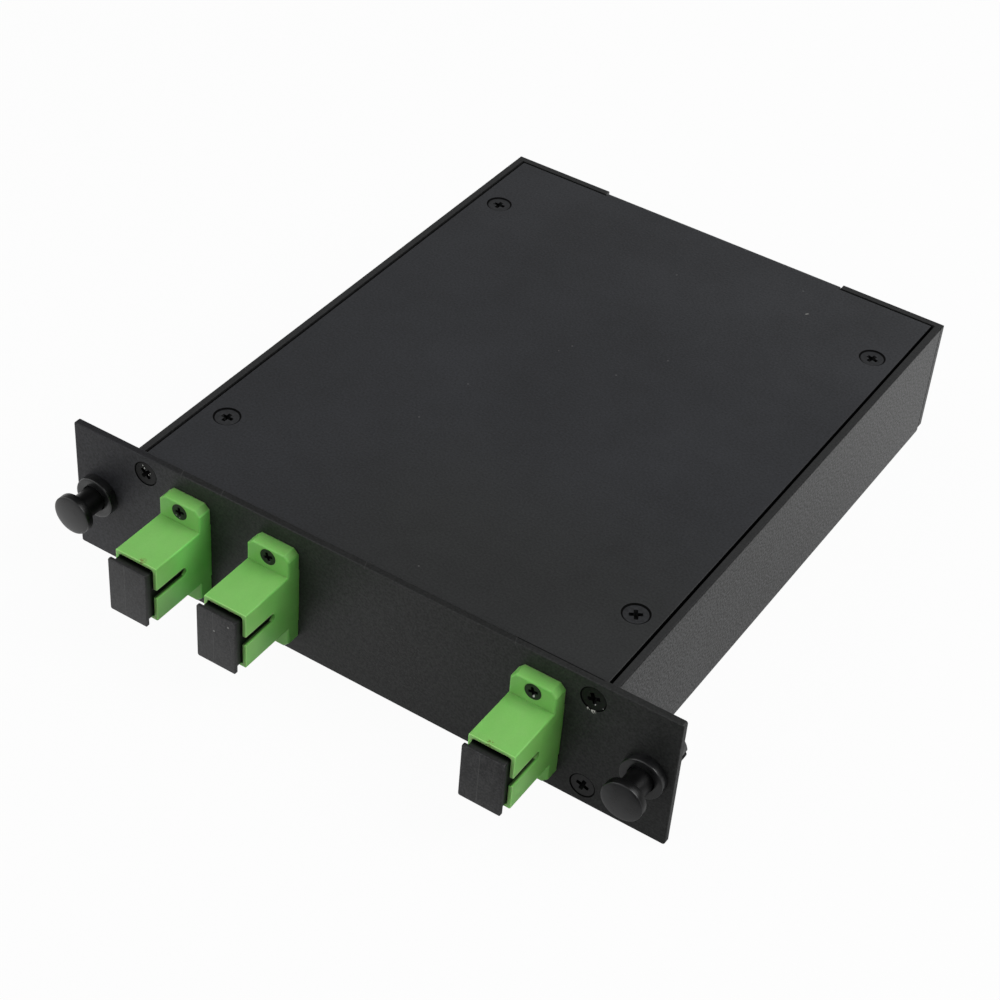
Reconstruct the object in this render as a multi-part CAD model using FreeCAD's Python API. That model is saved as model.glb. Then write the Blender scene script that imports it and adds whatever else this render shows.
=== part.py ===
import FreeCAD, Part
import math
import os

from FreeCAD import Placement, Rotation, Vector

# Rack cassette that holds a one-input, two-output planar optical splitter.
# Millimetres. X runs to the right seen from the front, Y to the back, Z up.
# The origin is the centre of the front panel's back face, midway between the two latches.

# Front panel
panel_width = 129.5
panel_height = 29.0
panel_sheet = 1.5
panel_corner = 0.5
panel_edge = 0.25
panel_screw_edge = 4.0
panel_sink = 5.1

# Case tray, one folded sheet; its width follows from the panel and the latches
case_depth = 130.45
case_sheet = 1.5
case_bend = 0.5
sheet_edge = 0.2
rim_drop = 1.0
front_flange = 7.8
flange_screw_inset = 3.4
bend_relief = 0.5
wall_seam = 0.1
rear_notch_width = 56.8
rear_notch_depth = 6.0

# Top cover
cover_sheet = 1.2
cover_side_gap = 0.5
cover_front_gap = 0.25
cover_rear_gap = 0.4
cover_bend = 0.4
tab_side_gap = 0.3
tab_height = 5.6
flange_cover_gap = 0.15
cover_screw_side = 4.9
cover_screw_front = 17.9
cover_screw_rear = 17.95
cover_sink = 5.3

# Countersunk screws: of the cover and the panel, and smaller ones in the couplers' ears
sunk_thread = 2.5
sunk_head = 4.7
sunk_reach = 6.0
recess_span = 2.6
recess_width = 0.8
recess_depth = 1.0
sunk_land = 0.05
cover_recess_turns = {(-1, 0): 0.0, (1, 0): 31.6, (-1, 1): 3.0, (1, 1): -14.0}
panel_recess_turns = {(-1, 1): -42.0, (1, 1): 20.0, (-1, -1): 30.0, (1, -1): -17.5}
sunk_hole_gap = 0.1
seat_gap = 0.02
thread_gap = 0.02

# Clinched pillars that carry the cover
pillar_width = 5.0
pillar_shank = 4.0
pillar_bore_depth = 10.0
clinch_gap = 0.02

# Square couplers on the panel, with the keyway in their right wall
input_inset = 13.3
output_inset = 13.65
output_spacing = 20.0
coupler_z = -0.2
coupler_width = 9.25
coupler_height = 12.5
coupler_front = 15.2
coupler_rear = 14.0
coupler_corner = 0.3
coupler_edge = 0.15
coupler_wall_side = 0.72
coupler_wall_top = 0.65
mouth_corner = 0.5
ear_reach = 4.65
ear_thickness = 2.95
ear_chamfer = 1.1
ear_edge = 0.35
keyway_width = 2.0
keyway_rise = 0.2
keyway_length = 8.3
cutout_gap = 0.15

# Screws and nuts of the couplers
ear_screw_out = 2.6
ear_thread = 2.0
ear_screw_head = 3.3
ear_sink = 3.45
ear_recess_span = 2.1
ear_recess_width = 0.62
ear_recess_depth = 0.8
ear_recess_turns = {"input": 12.0, "output_1": 8.0, "output_2": 20.0}
ear_hole_gap = 0.1
nut_across_flats = 4.0
nut_thickness = 1.6
screw_tip_past_nut = 0.6

# Sleeve holders inside the couplers
holder_plate = 1.0
holder_fit = 0.05
holder_tube_length = 6.0
holder_tube_wall = 0.58
holder_lip = 0.6
holder_lip_gap = 0.2
arm_gap = 0.2
arm_thickness = 0.75
arm_width = 3.0
arm_length = 8.6
arm_hook = 0.4
arm_hook_length = 1.2
hook_gap = 0.1

# Ceramic alignment sleeve
ferrule_width = 2.5
sleeve_wall = 0.35
sleeve_end_gap = 0.2
sleeve_slit = 0.5
sleeve_fit = 0.05
ferrule_fit = 0.02

# Dust caps
cap_side_margin = 0.42
cap_top_margin = 0.8
cap_lip = 0.85
cap_plate_thickness = 0.7
cap_edge = 0.12
cap_stand_off = 1.85
cap_plug_depth = 7.8
cap_plug_corner = 0.6
cap_root = 0.3
cap_fit_side = 0.08
cap_fit_top = 0.35
cap_wall_side = 1.2
cap_wall_top = 1.1

# Push-pull latches in the panel's ears
latch_case_gap = 3.8
latch_edge = 1.25
collar_width = 8.4
collar_thickness = 1.85
collar_edge = 0.35
leg_wall = 0.7
barrel_length = 7.25
barrel_fit = 0.05
barrel_tip = 0.4
leg_slot_width = 1.0
leg_slot_start = 0.6
stem_width = 5.0
stem_fit = 0.1
knob_step = 0.22
knob_rim = 1.7
knob_dome = 0.35
knob_edge = 0.25
knob_flare = 0.25
latch_travel = 4.5
knob_stop_gap = 0.1
lug_side_gap = 0.1
lug_sink = 0.35
lug_length = 1.0
lug_gap = 0.05
nose_taper = 0.9
nose_width = 3.2
nose_past_legs = 0.2
nose_edge = 0.5

# Internal plugs behind the couplers
plug_fit_side = 0.2
plug_fit_top = 1.1
plug_corner = 0.5
plug_wall_side = 0.5
plug_wall_top = 0.5
plug_front = 0.4
plug_rear = 21.0
plug_key_gap = 0.1
plug_key_sink = 0.25
plug_key_start_gap = 0.3
plug_key_end_gap = 0.5
frame_side_gap = 0.1
frame_front = -0.5
frame_rear = 15.0
frame_tube_gap = 0.2
frame_mouth_room = 0.7
frame_web = 3.8
collar_room = 0.2
ferrule_back_gap = 0.2
ferrule_collar_width = 4.0
ferrule_collar_length = 1.8
ferrule_tail_width = 2.0
ferrule_tail_length = 2.4
ferrule_angle = 8.0
stem_body_gap = 0.5
stem_body_length = 7.1
stem_post_length = 6.0
stem_post_width = 3.2
stem_tail_gap = 0.1
part_fit = 0.05
boot_gap = 0.4
boot_straight = 7.6
boot_taper = 15.5
boot_wall = 1.15
boot_tip_wall = 0.6

# Fibre leads, splitter and clips
lead_width = 0.9
bare_fibre = 0.25
lead_fit = 0.05
lead_start_gap = 1.2
splitter_x = 12.0
splitter_length = 40.0
splitter_width = 7.0
splitter_height = 4.0
splitter_wall = 0.3
splitter_corner = 0.5
pad_thickness = 0.8
pad_width = 6.0
pad_end = 3.0
output_lead_gap = 0.3
boot_plug_length = 3.0
boot_stub_length = 7.0
boot_stub_width = 3.6
boot_stub_tip = 2.4
inner_fit = 0.05
chip_length = 14.0
array_length = 6.0
chip_width = 2.5
clip_base = 7.0
clip_base_thickness = 0.9
clip_body_length = 5.0
clip_body_width = 3.2
clip_top = 1.1
clip_bore = 1.2
clip_slit = 0.5

# Routes of the leads, chosen by hand: places on the floor plan and the bend at each corner
loop_side_gap = 5.8
loop_rear_gap = 3.95
loop_front_y = 8.0
loop_end_run = 3.0
loop_rear_bend = 36.0
loop_front_bend = 26.0
ramp_top_y = 50.5
ramp_foot_y = 74.0
ramp_bend = 38.0
turn_step = 3.6
inner_ramp_foot_y = 83.0
inner_ramp_bend = 33.0
turn_start_past_boot = 0.5

# Worked out from the values above
bottom = -panel_height / 2
rim_top = panel_height / 2 - rim_drop
floor_top = bottom + case_sheet
latch_x = panel_width / 2 - latch_edge - collar_width / 2
wall_outer = latch_x - collar_width / 2 - latch_case_gap
wall_inner = wall_outer - case_sheet
bend_outer = case_bend + case_sheet
rear_inner = case_depth - case_sheet
channel_end = rear_inner - wall_seam
cover_underside = rim_top - cover_sheet
flange_top = cover_underside - flange_cover_gap
flange_bottom = bottom + bend_outer + bend_relief
cover_half = wall_inner - cover_side_gap
cover_screw_x = cover_half - cover_screw_side
cover_screw_rows = (cover_screw_front, rear_inner - cover_screw_rear)
panel_screw_x = wall_outer - flange_screw_inset
panel_screw_z = panel_height / 2 - panel_screw_edge
panel_front = -panel_sheet
mouth_front = panel_front - coupler_front
mouth_rear = panel_front + coupler_rear
coupler_middle = (mouth_front + mouth_rear) / 2
ear_front = panel_front - ear_thickness
coupler_places = {"input": wall_outer - input_inset, "output_1": output_inset - wall_outer,
                  "output_2": output_inset - wall_outer + output_spacing}
mouth_width = coupler_width - 2 * coupler_wall_side
mouth_height = coupler_height - 2 * coupler_wall_top
ear_height = coupler_height + 2 * ear_reach
ear_screw_offset = coupler_height / 2 + ear_screw_out
sleeve_width = ferrule_width + 2 * (ferrule_fit + sleeve_wall)
sleeve_length = 2 * (holder_tube_length - holder_lip - sleeve_end_gap)
holder_tube_width = sleeve_width + 2 * (sleeve_fit + holder_tube_wall)
holder_lip_bore = ferrule_width + 2 * holder_lip_gap
plug_width = mouth_width - 2 * plug_fit_side
plug_height = mouth_height - 2 * plug_fit_top
frame_width = plug_width - 2 * (plug_wall_side + frame_side_gap)
frame_height = plug_height - 2 * (plug_wall_top + arm_thickness + 2 * arm_gap)
arm_inner = frame_height / 2 + arm_gap
frame_mouth = holder_tube_width + 2 * frame_tube_gap
frame_mouth_end = coupler_middle + holder_tube_length + frame_mouth_room
frame_web_end = frame_mouth_end + frame_web
frame_rear_bore = ferrule_collar_width + 2 * collar_room
ferrule_back = frame_web_end + ferrule_back_gap
ferrule_collar_end = ferrule_back + ferrule_collar_length
ferrule_end = ferrule_collar_end + ferrule_tail_length
stem_body_width = frame_rear_bore - 2 * part_fit
stem_body_start = ferrule_collar_end + stem_body_gap
stem_body_step = stem_body_start + stem_body_length
stem_body_end = stem_body_step + stem_post_length
boot_start = stem_body_step + boot_gap
boot_cone_start = boot_start + boot_straight
boot_end = boot_cone_start + boot_taper
boot_bore = stem_post_width + 2 * part_fit
boot_width = boot_bore + 2 * boot_wall
lead_bore = lead_width + 2 * lead_fit
boot_tip = lead_bore + 2 * boot_tip_wall
lead_start = ferrule_end + lead_start_gap
cap_plug_width = mouth_width - 2 * cap_fit_side
cap_plug_height = mouth_height - 2 * cap_fit_top
collar_front = panel_front - collar_thickness
stem_bore = stem_width + 2 * stem_fit
barrel_width = stem_bore + 2 * leg_wall
knob_width = collar_width - 2 * knob_step
lug_width = leg_slot_width - 2 * lug_side_gap
lug_reach = stem_fit + leg_wall - lug_sink
lead_level = floor_top + pad_thickness + splitter_height / 2
output_pitch = lead_width + output_lead_gap
loop_left_x = loop_side_gap - wall_inner
loop_rear_y = rear_inner - loop_rear_gap
splitter_front = loop_front_y + loop_front_bend + loop_end_run + boot_stub_length
splitter_rear = splitter_front + splitter_length
knob_underside = collar_front - latch_travel - knob_stop_gap
nose_end = barrel_length + nose_past_legs
keyway_z = coupler_z + keyway_rise


def box(x0, x1, y0, y1, z0, z1):
    """Box between two corners."""
    return Part.makeBox(x1 - x0, y1 - y0, z1 - z0, Vector(x0, y0, z0))


def rod(width, y0, y1, x=0.0, z=0.0):
    """Round rod along Y, from y0 to y1, width across."""
    return Part.makeCylinder(width / 2, y1 - y0, Vector(x, y0, z), Vector(0, 1, 0))


def upright(width, z0, z1, x, y):
    """Round rod along Z."""
    return Part.makeCylinder(width / 2, z1 - z0, Vector(x, y, z0), Vector(0, 0, 1))


def block(width, height, y0, y1, x=0.0, z=0.0, corner=0.0):
    """Block along Y, centred on x and z, with its four long edges rounded."""
    shape = box(x - width / 2, x + width / 2, y0, y1, z - height / 2, z + height / 2)
    if corner > 0:
        shape = shape.makeFillet(corner, edges_along(shape, Vector(0, 1, 0)))
    return shape


def edges_along(shape, direction):
    """Straight edges of a shape that run along a direction."""
    found = []
    for edge in shape.Edges:
        start, end = edge.Vertexes[0].Point, edge.Vertexes[-1].Point
        if (end - start).Length > 0 and (end - start).normalize().cross(direction).Length < 0.001:
            found.append(edge)
    return found


def edges_at_y(shape, y):
    """Edges of a shape that lie in the plane of one Y."""
    return [e for e in shape.Edges if abs(e.BoundBox.YMin - y) < 0.001 and abs(e.BoundBox.YMax - y) < 0.001]


def edges_at_z(shape, z):
    """Edges of a shape that lie in the plane of one Z."""
    return [e for e in shape.Edges if abs(e.BoundBox.ZMin - z) < 0.001 and abs(e.BoundBox.ZMax - z) < 0.001]


def fuse(shapes):
    """One clean solid from overlapping or touching ones."""
    first, rest = shapes[0], shapes[1:]
    return first.fuse(rest).removeSplitter()


def group(shapes):
    """Separate solids kept together in one node."""
    return Part.makeCompound(shapes)


def turned(points, axis_start, axis_direction):
    """Solid of revolution of a closed outline of straight runs."""
    outline = Part.makePolygon(points + [points[0]])
    return Part.Face(outline).revolve(axis_start, axis_direction, 360)


def bend_section(corner, a, b, length_a, length_b, sheet, inner):
    """Section of a sheet bent at a right angle: the outer corner, its two legs and the inner radius."""
    outer = inner + sheet
    centre = corner + a * outer + b * outer
    diagonal = (a + b).normalize()
    outer_mid = centre - diagonal * outer
    inner_mid = centre - diagonal * inner
    p = [corner + a * length_a, corner + a * outer, corner + b * outer, corner + b * length_b,
         corner + b * length_b + a * sheet, corner + b * outer + a * sheet,
         corner + a * outer + b * sheet, corner + a * length_a + b * sheet]
    edges = [Part.LineSegment(p[0], p[1]).toShape(), Part.Arc(p[1], outer_mid, p[2]).toShape(),
             Part.LineSegment(p[2], p[3]).toShape(), Part.LineSegment(p[3], p[4]).toShape(),
             Part.LineSegment(p[4], p[5]).toShape(), Part.Arc(p[5], inner_mid, p[6]).toShape(),
             Part.LineSegment(p[6], p[7]).toShape(), Part.LineSegment(p[7], p[0]).toShape()]
    return Part.Face(Part.Wire(edges))


def cross_recess(span, width, depth, turn):
    """Tapered cross-shaped cutter that opens at Z = 0 and points down."""
    arm = box(-span / 2, span / 2, -width / 2, width / 2, -depth, depth)
    other = box(-width / 2, width / 2, -span / 2, span / 2, -depth, depth)
    cone = Part.makeCone(width * 0.7, span / 2, depth, Vector(0, 0, -depth))
    lid = Part.makeCylinder(span / 2, depth, Vector(0, 0, 0))
    cutter = arm.fuse(other).common(cone.fuse(lid))
    cutter.rotate(Vector(0, 0, 0), Vector(0, 0, 1), turn)
    return cutter


def sunk_screw(head, thread, reach, recess):
    """Countersunk machine screw, head up, its head's top at Z = 0, with a recess cut by the given shape."""
    cone_end = -sunk_land - (head - thread) / 2
    points = [Vector(0, 0, 0), Vector(head / 2, 0, 0), Vector(head / 2, 0, -sunk_land),
              Vector(thread / 2, 0, cone_end), Vector(thread / 2, 0, -reach), Vector(0, 0, -reach)]
    return turned(points, Vector(0, 0, 0), Vector(0, 0, 1)).cut(recess)


def case_screw(turn):
    """Screw of the cover or the panel, its recess turned as it was left."""
    recess = cross_recess(recess_span, recess_width, recess_depth, turn)
    return sunk_screw(sunk_head, sunk_thread, sunk_reach, recess)


def sunk_hole(top_width, thread, gap, length):
    """Cutter for a countersunk clearance hole whose wide end is at Z = 0."""
    hole = thread / 2 + gap
    depth = top_width / 2 - hole
    cone = Part.makeCone(hole, top_width / 2, depth, Vector(0, 0, -depth))
    return cone.fuse(Part.makeCylinder(hole, length, Vector(0, 0, -length)))


def case_screw_hole(top_width, sheet):
    """Countersunk hole through a sheet for a screw of the cover or the panel."""
    return sunk_hole(top_width, sunk_thread, sunk_hole_gap, sheet + top_width)


def sink_depth(top_width, head):
    """How far a countersunk head lies below the face that its hole opens in."""
    return (top_width - head) / 2 - sunk_land - seat_gap * math.sqrt(2)


def to_front(shape, x, y, z):
    """Turn a shape that points up so that it points to the front, and place it."""
    place = Placement(Vector(x, y, z), Rotation(Vector(1, 0, 0), 90))
    shape.Placement = place.multiply(shape.Placement)
    return shape


def front_panel():
    """Flat plate with cut-outs for three couplers, their screw holes, countersunk holes and latch holes."""
    plate = block(panel_width, panel_height, panel_front, 0.0, corner=panel_corner)
    plate = plate.makeFillet(panel_edge, edges_at_y(plate, panel_front) + edges_at_y(plate, 0.0))
    cuts = []
    for x in coupler_places.values():
        cuts.append(block(coupler_width + 2 * cutout_gap, coupler_height + 2 * cutout_gap,
                          panel_front - 1, 1, x, coupler_z))
        for side in (-1, 1):
            z = coupler_z + side * ear_screw_offset
            cuts.append(rod(ear_thread + 2 * ear_hole_gap, panel_front - 1, 1, x, z))
    for side_x, side_z in panel_recess_turns:
        hole = case_screw_hole(panel_sink, panel_sheet)
        cuts.append(to_front(hole, side_x * panel_screw_x, panel_front, side_z * panel_screw_z))
    for side in (-1, 1):
        cuts.append(rod(barrel_width + 2 * barrel_fit, panel_front - 1, 1, side * latch_x))
    return plate.cut(cuts)


def case_tray():
    """Folded tray: floor, two side walls with flanges behind the panel, and a notched rear wall."""
    left, right, up, back = Vector(-1, 0, 0), Vector(1, 0, 0), Vector(0, 0, 1), Vector(0, 1, 0)
    wall_height = rim_top - bottom
    shapes = []
    for outward in (left, right):
        inward = outward * -1
        start = Vector(outward.x * wall_outer, 0, bottom)
        section = bend_section(start, inward, up, wall_outer, wall_height, case_sheet, case_bend)
        wall = section.extrude(Vector(0, channel_end, 0))
        x0, x1 = sorted((outward.x * (wall_inner - 1), outward.x * (wall_outer + 1)))
        wall = wall.cut(box(x0, x1, -1, bend_outer, flange_bottom, flange_top))
        shapes.append(wall)
        corner = Vector(outward.x * wall_outer, 0, flange_bottom)
        section = bend_section(corner, inward, back, front_flange, 2 * bend_outer, case_sheet, case_bend)
        shapes.append(section.extrude(Vector(0, 0, flange_top - flange_bottom)))
    strip_half = wall_outer - bend_outer - bend_relief
    corner = Vector(-strip_half, case_depth, bottom)
    section = bend_section(corner, back * -1, up, 2 * bend_outer, wall_height, case_sheet, case_bend)
    shapes.append(section.extrude(Vector(2 * strip_half, 0, 0)))
    wing_bottom = bottom + bend_outer + bend_relief
    shapes.append(box(-wall_outer, wall_outer, rear_inner, case_depth, wing_bottom, rim_top))
    tray = fuse(shapes)
    cuts = [box(-rear_notch_width / 2, rear_notch_width / 2, rear_inner - 1, case_depth + 1,
                rim_top - rear_notch_depth, rim_top + 1)]
    for side_x, side_z in panel_recess_turns:
        cuts.append(rod(sunk_thread + 2 * thread_gap, -1, case_sheet + 1, side_x * panel_screw_x,
                        side_z * panel_screw_z))
    for side, row in cover_recess_turns:
        cuts.append(upright(pillar_shank + 2 * clinch_gap, bottom - 1, floor_top + 1, side * cover_screw_x,
                            cover_screw_rows[row]))
    tray = tray.cut(cuts)
    return tray.makeFillet(sheet_edge, edges_at_z(tray, rim_top))


def top_cover():
    """Flat cover between the rims, with a tab folded down into the rear wall's notch."""
    plate = box(-cover_half, cover_half, cover_front_gap, rear_inner - cover_rear_gap,
                cover_underside, rim_top)
    tab_half = rear_notch_width / 2 - tab_side_gap
    corner = Vector(-tab_half, case_depth, rim_top)
    section = bend_section(corner, Vector(0, -1, 0), Vector(0, 0, -1), case_sheet + 2 * bend_outer,
                           tab_height, cover_sheet, cover_bend)
    cover = fuse([plate, section.extrude(Vector(2 * tab_half, 0, 0))])
    rims = [e for e in edges_at_z(cover, rim_top) if e.BoundBox.YMax < rear_inner]
    cover = cover.makeFillet(sheet_edge, rims)
    cuts = []
    for side, row in cover_recess_turns:
        hole = case_screw_hole(cover_sink, cover_sheet)
        hole.translate(Vector(side * cover_screw_x, cover_screw_rows[row], rim_top))
        cuts.append(hole)
    return cover.cut(cuts)


def cover_screws():
    """Four countersunk screws, sunk into the cover."""
    screws = []
    z = rim_top - sink_depth(cover_sink, sunk_head)
    for (side, row), turn in cover_recess_turns.items():
        screw = case_screw(turn)
        screw.translate(Vector(side * cover_screw_x, cover_screw_rows[row], z))
        screws.append(screw)
    return group(screws)


def panel_screws():
    """Four countersunk screws that hold the panel to the tray's flanges."""
    screws = []
    y = panel_front + sink_depth(panel_sink, sunk_head)
    for (side_x, side_z), turn in panel_recess_turns.items():
        screws.append(to_front(case_screw(turn), side_x * panel_screw_x, y, side_z * panel_screw_z))
    return group(screws)


def cover_pillars():
    """Four round threaded pillars, clinched into the floor, that the cover rests on."""
    pillars = []
    for side, row in cover_recess_turns:
        x, y = side * cover_screw_x, cover_screw_rows[row]
        body = fuse([upright(pillar_shank, bottom, floor_top, x, y),
                     upright(pillar_width, floor_top, cover_underside, x, y)])
        bore = upright(sunk_thread + 2 * thread_gap, cover_underside - pillar_bore_depth,
                       cover_underside + 1, x, y)
        mouth = case_screw_hole(cover_sink, 0.0)
        mouth.translate(Vector(x, y, rim_top))
        room = upright(cover_sink, cover_underside - 1, rim_top, x, y)
        pillars.append(body.cut([bore, mouth.common(room)]))
    return group(pillars)


def coupler_housing(x):
    """Moulded coupler: a square tube with two ears, a keyway in its right wall at each end."""
    body = block(coupler_width, coupler_height, mouth_front, mouth_rear, x, coupler_z, coupler_corner)
    body = body.makeFillet(coupler_edge, edges_at_y(body, mouth_front))
    ears = block(coupler_width, ear_height, ear_front, panel_front, x, coupler_z)
    ears = ears.makeChamfer(ear_chamfer, edges_along(ears, Vector(0, 1, 0)))
    ears = ears.makeFillet(ear_edge, edges_at_y(ears, ear_front))
    shape = fuse([body, ears])
    cuts = [block(mouth_width, mouth_height, mouth_front - 1, mouth_rear + 1, x, coupler_z, mouth_corner)]
    for side in (-1, 1):
        hole = sunk_hole(ear_sink, ear_thread, ear_hole_gap, ear_thickness + ear_sink)
        cuts.append(to_front(hole, x, ear_front, coupler_z + side * ear_screw_offset))
    for mouth, inward in ((mouth_front, 1), (mouth_rear, -1)):
        end = mouth + inward * (keyway_length - keyway_width / 2)
        y0, y1 = sorted((mouth - inward, end))
        half = keyway_width / 2
        cuts.append(box(x, x + coupler_width, y0, y1, keyway_z - half, keyway_z + half))
        cuts.append(Part.makeCylinder(half, coupler_width, Vector(x, end, keyway_z), Vector(1, 0, 0)))
    return shape.cut(cuts)


def ear_screws():
    """Six countersunk screws that hold the couplers, two each."""
    screws = []
    y = ear_front + sink_depth(ear_sink, ear_screw_head)
    reach = nut_thickness + screw_tip_past_nut - y
    for name, x in coupler_places.items():
        for side in (-1, 1):
            turn = ear_recess_turns[name]
            recess = cross_recess(ear_recess_span, ear_recess_width, ear_recess_depth, turn)
            screw = sunk_screw(ear_screw_head, ear_thread, reach, recess)
            screws.append(to_front(screw, x, y, coupler_z + side * ear_screw_offset))
    return group(screws)


def ear_nuts():
    """Six hexagon nuts behind the panel."""
    nuts = []
    corner_radius = nut_across_flats / math.sqrt(3)
    for x in coupler_places.values():
        for side in (-1, 1):
            z = coupler_z + side * ear_screw_offset
            points = []
            for i in range(7):
                turn = math.radians(60 * i)
                across, up = corner_radius * math.cos(turn), corner_radius * math.sin(turn)
                points.append(Vector(x + across, 0, z + up))
            nut = Part.Face(Part.makePolygon(points)).extrude(Vector(0, nut_thickness, 0))
            nuts.append(nut.cut(rod(ear_thread + 2 * thread_gap, -1, nut_thickness + 1, x, z)))
    return group(nuts)


def sleeve_holder(x, outward):
    """Half of the sleeve holder: a plate, a tube for the ceramic sleeve and two sprung hooks."""
    def span(near, far):
        return sorted((coupler_middle + outward * near, coupler_middle + outward * far))
    def hook_box(near, far, low, high):
        y0, y1 = span(near, far)
        z0, z1 = sorted((coupler_z + low, coupler_z + high))
        return box(x - arm_width / 2, x + arm_width / 2, y0, y1, z0, z1)
    y0, y1 = span(0, holder_plate)
    plate = block(mouth_width - 2 * holder_fit, mouth_height - 2 * holder_fit, y0, y1, x, coupler_z,
                  mouth_corner)
    y0, y1 = span(0, holder_tube_length)
    shapes = [plate, rod(holder_tube_width, y0, y1, x, coupler_z)]
    for side in (-1, 1):
        outside = side * (arm_inner + arm_thickness)
        shapes.append(hook_box(0, arm_length, side * arm_inner, outside))
        hook = side * (arm_inner - arm_hook)
        shapes.append(hook_box(arm_length - arm_hook_length, arm_length, hook, outside))
    shape = fuse(shapes)
    y0, y1 = span(-1, holder_tube_length - holder_lip)
    seat = rod(sleeve_width + 2 * sleeve_fit, y0, y1, x, coupler_z)
    y0, y1 = span(0, holder_tube_length + 1)
    return shape.cut([seat, rod(holder_lip_bore, y0, y1, x, coupler_z)])


def alignment_sleeve(x):
    """Split ceramic sleeve that lines two ferrules up."""
    y0, y1 = coupler_middle - sleeve_length / 2, coupler_middle + sleeve_length / 2
    tube = rod(sleeve_width, y0, y1, x, coupler_z).cut(
        rod(ferrule_width + 2 * ferrule_fit, y0 - 1, y1 + 1, x, coupler_z))
    slit = box(x - sleeve_slit / 2, x + sleeve_slit / 2, y0 - 1, y1 + 1, coupler_z, coupler_z + sleeve_width)
    return tube.cut(slit)


def dust_cap(x):
    """Moulded cap: a thin plate with a pull lip below, and a hollow plug that fills the mouth."""
    back = mouth_front - cap_stand_off
    front = back - cap_plate_thickness
    height = cap_plug_height + cap_top_margin + cap_lip
    plate = block(cap_plug_width + 2 * cap_side_margin, height, front, back, x,
                  coupler_z + (cap_top_margin - cap_lip) / 2)
    plate = plate.makeChamfer(cap_edge, edges_at_y(plate, front))
    end = mouth_front + cap_plug_depth
    plug = block(cap_plug_width, cap_plug_height, back, end, x, coupler_z)
    plug = plug.makeChamfer(cap_plug_corner, edges_along(plug, Vector(0, 1, 0)))
    cap = fuse([plate, plug])
    rim = plug.BoundBox
    root = [e for e in edges_at_y(cap, back) if rim.XMin - 0.001 < e.BoundBox.XMin
            and e.BoundBox.XMax < rim.XMax + 0.001 and rim.ZMin - 0.001 < e.BoundBox.ZMin
            and e.BoundBox.ZMax < rim.ZMax + 0.001]
    cap = cap.makeFillet(cap_root, root)
    hollow = block(cap_plug_width - 2 * cap_wall_side, cap_plug_height - 2 * cap_wall_top, back, end + 1,
                   x, coupler_z)
    return cap.cut(hollow)


def latch_grommet(side):
    """Moulded bush in the panel's ear: a collar in front and four split legs behind."""
    x = side * latch_x
    collar = rod(collar_width, collar_front, panel_front, x)
    collar = collar.makeFillet(collar_edge, edges_at_y(collar, collar_front))
    barrel = rod(barrel_width, panel_front, barrel_length, x)
    barrel = barrel.makeChamfer(barrel_tip, edges_at_y(barrel, barrel_length))
    shape = fuse([collar, barrel]).cut(rod(stem_bore, collar_front - 1, barrel_length + 1, x))
    flare = knob_flare + stem_fit
    mouth = Part.makeCone(stem_bore / 2 + flare, stem_bore / 2, flare, Vector(x, collar_front, 0),
                          Vector(0, 1, 0))
    half = leg_slot_width / 2
    reach = barrel_width
    slots = [box(x - half, x + half, leg_slot_start, barrel_length + 1, -reach, reach),
             box(x - reach, x + reach, leg_slot_start, barrel_length + 1, -half, half)]
    return shape.cut([mouth] + slots)


def latch_plunger(side):
    """Moulded plunger, pulled out: a domed knob, a thick stem, lugs in the legs' slots and a slim nose."""
    x = side * latch_x
    front = knob_underside - knob_rim
    knob = rod(knob_width, front, knob_underside, x)
    knob = knob.makeFillet(knob_edge, edges_at_y(knob, knob_underside))
    dome_radius = (knob_width ** 2 / 4 + knob_dome ** 2) / (2 * knob_dome)
    ball = Part.makeSphere(dome_radius, Vector(x, front - knob_dome + dome_radius, 0))
    dome = ball.common(rod(knob_width, front - 2 * knob_dome, front, x))
    flare = Part.makeCone(stem_width / 2 + knob_flare, stem_width / 2, knob_flare,
                          Vector(x, knob_underside, 0), Vector(0, 1, 0))
    lug_start = leg_slot_start + lug_gap
    stem_end = lug_start + lug_length
    stem = rod(stem_width, knob_underside, stem_end, x)
    taper = Part.makeCone(stem_width / 2, nose_width / 2, nose_taper, Vector(x, stem_end, 0), Vector(0, 1, 0))
    nose = rod(nose_width, stem_end, nose_end, x)
    nose = nose.makeFillet(nose_edge, edges_at_y(nose, nose_end))
    reach = stem_width / 2 + lug_reach
    half = lug_width / 2
    lugs = [box(x - half, x + half, lug_start, stem_end, -reach, reach),
            box(x - reach, x + reach, lug_start, stem_end, -half, half)]
    return fuse([knob, dome, flare, stem, taper, nose] + lugs)


def plug_housing(x):
    """Sliding outer sleeve of an internal plug, with its key on the right."""
    shell = block(plug_width, plug_height, plug_front, plug_rear, x, coupler_z, plug_corner)
    half = keyway_width / 2 - plug_key_gap
    key = box(x + plug_width / 2 - plug_corner, x + coupler_width / 2 - plug_key_sink,
              mouth_rear - keyway_length + plug_key_start_gap, mouth_rear - plug_key_end_gap,
              keyway_z - half, keyway_z + half)
    hollow = block(plug_width - 2 * plug_wall_side, plug_height - 2 * plug_wall_top, plug_front - 1,
                   plug_rear + 1, x, coupler_z)
    return fuse([shell, key]).cut(hollow)


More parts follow.
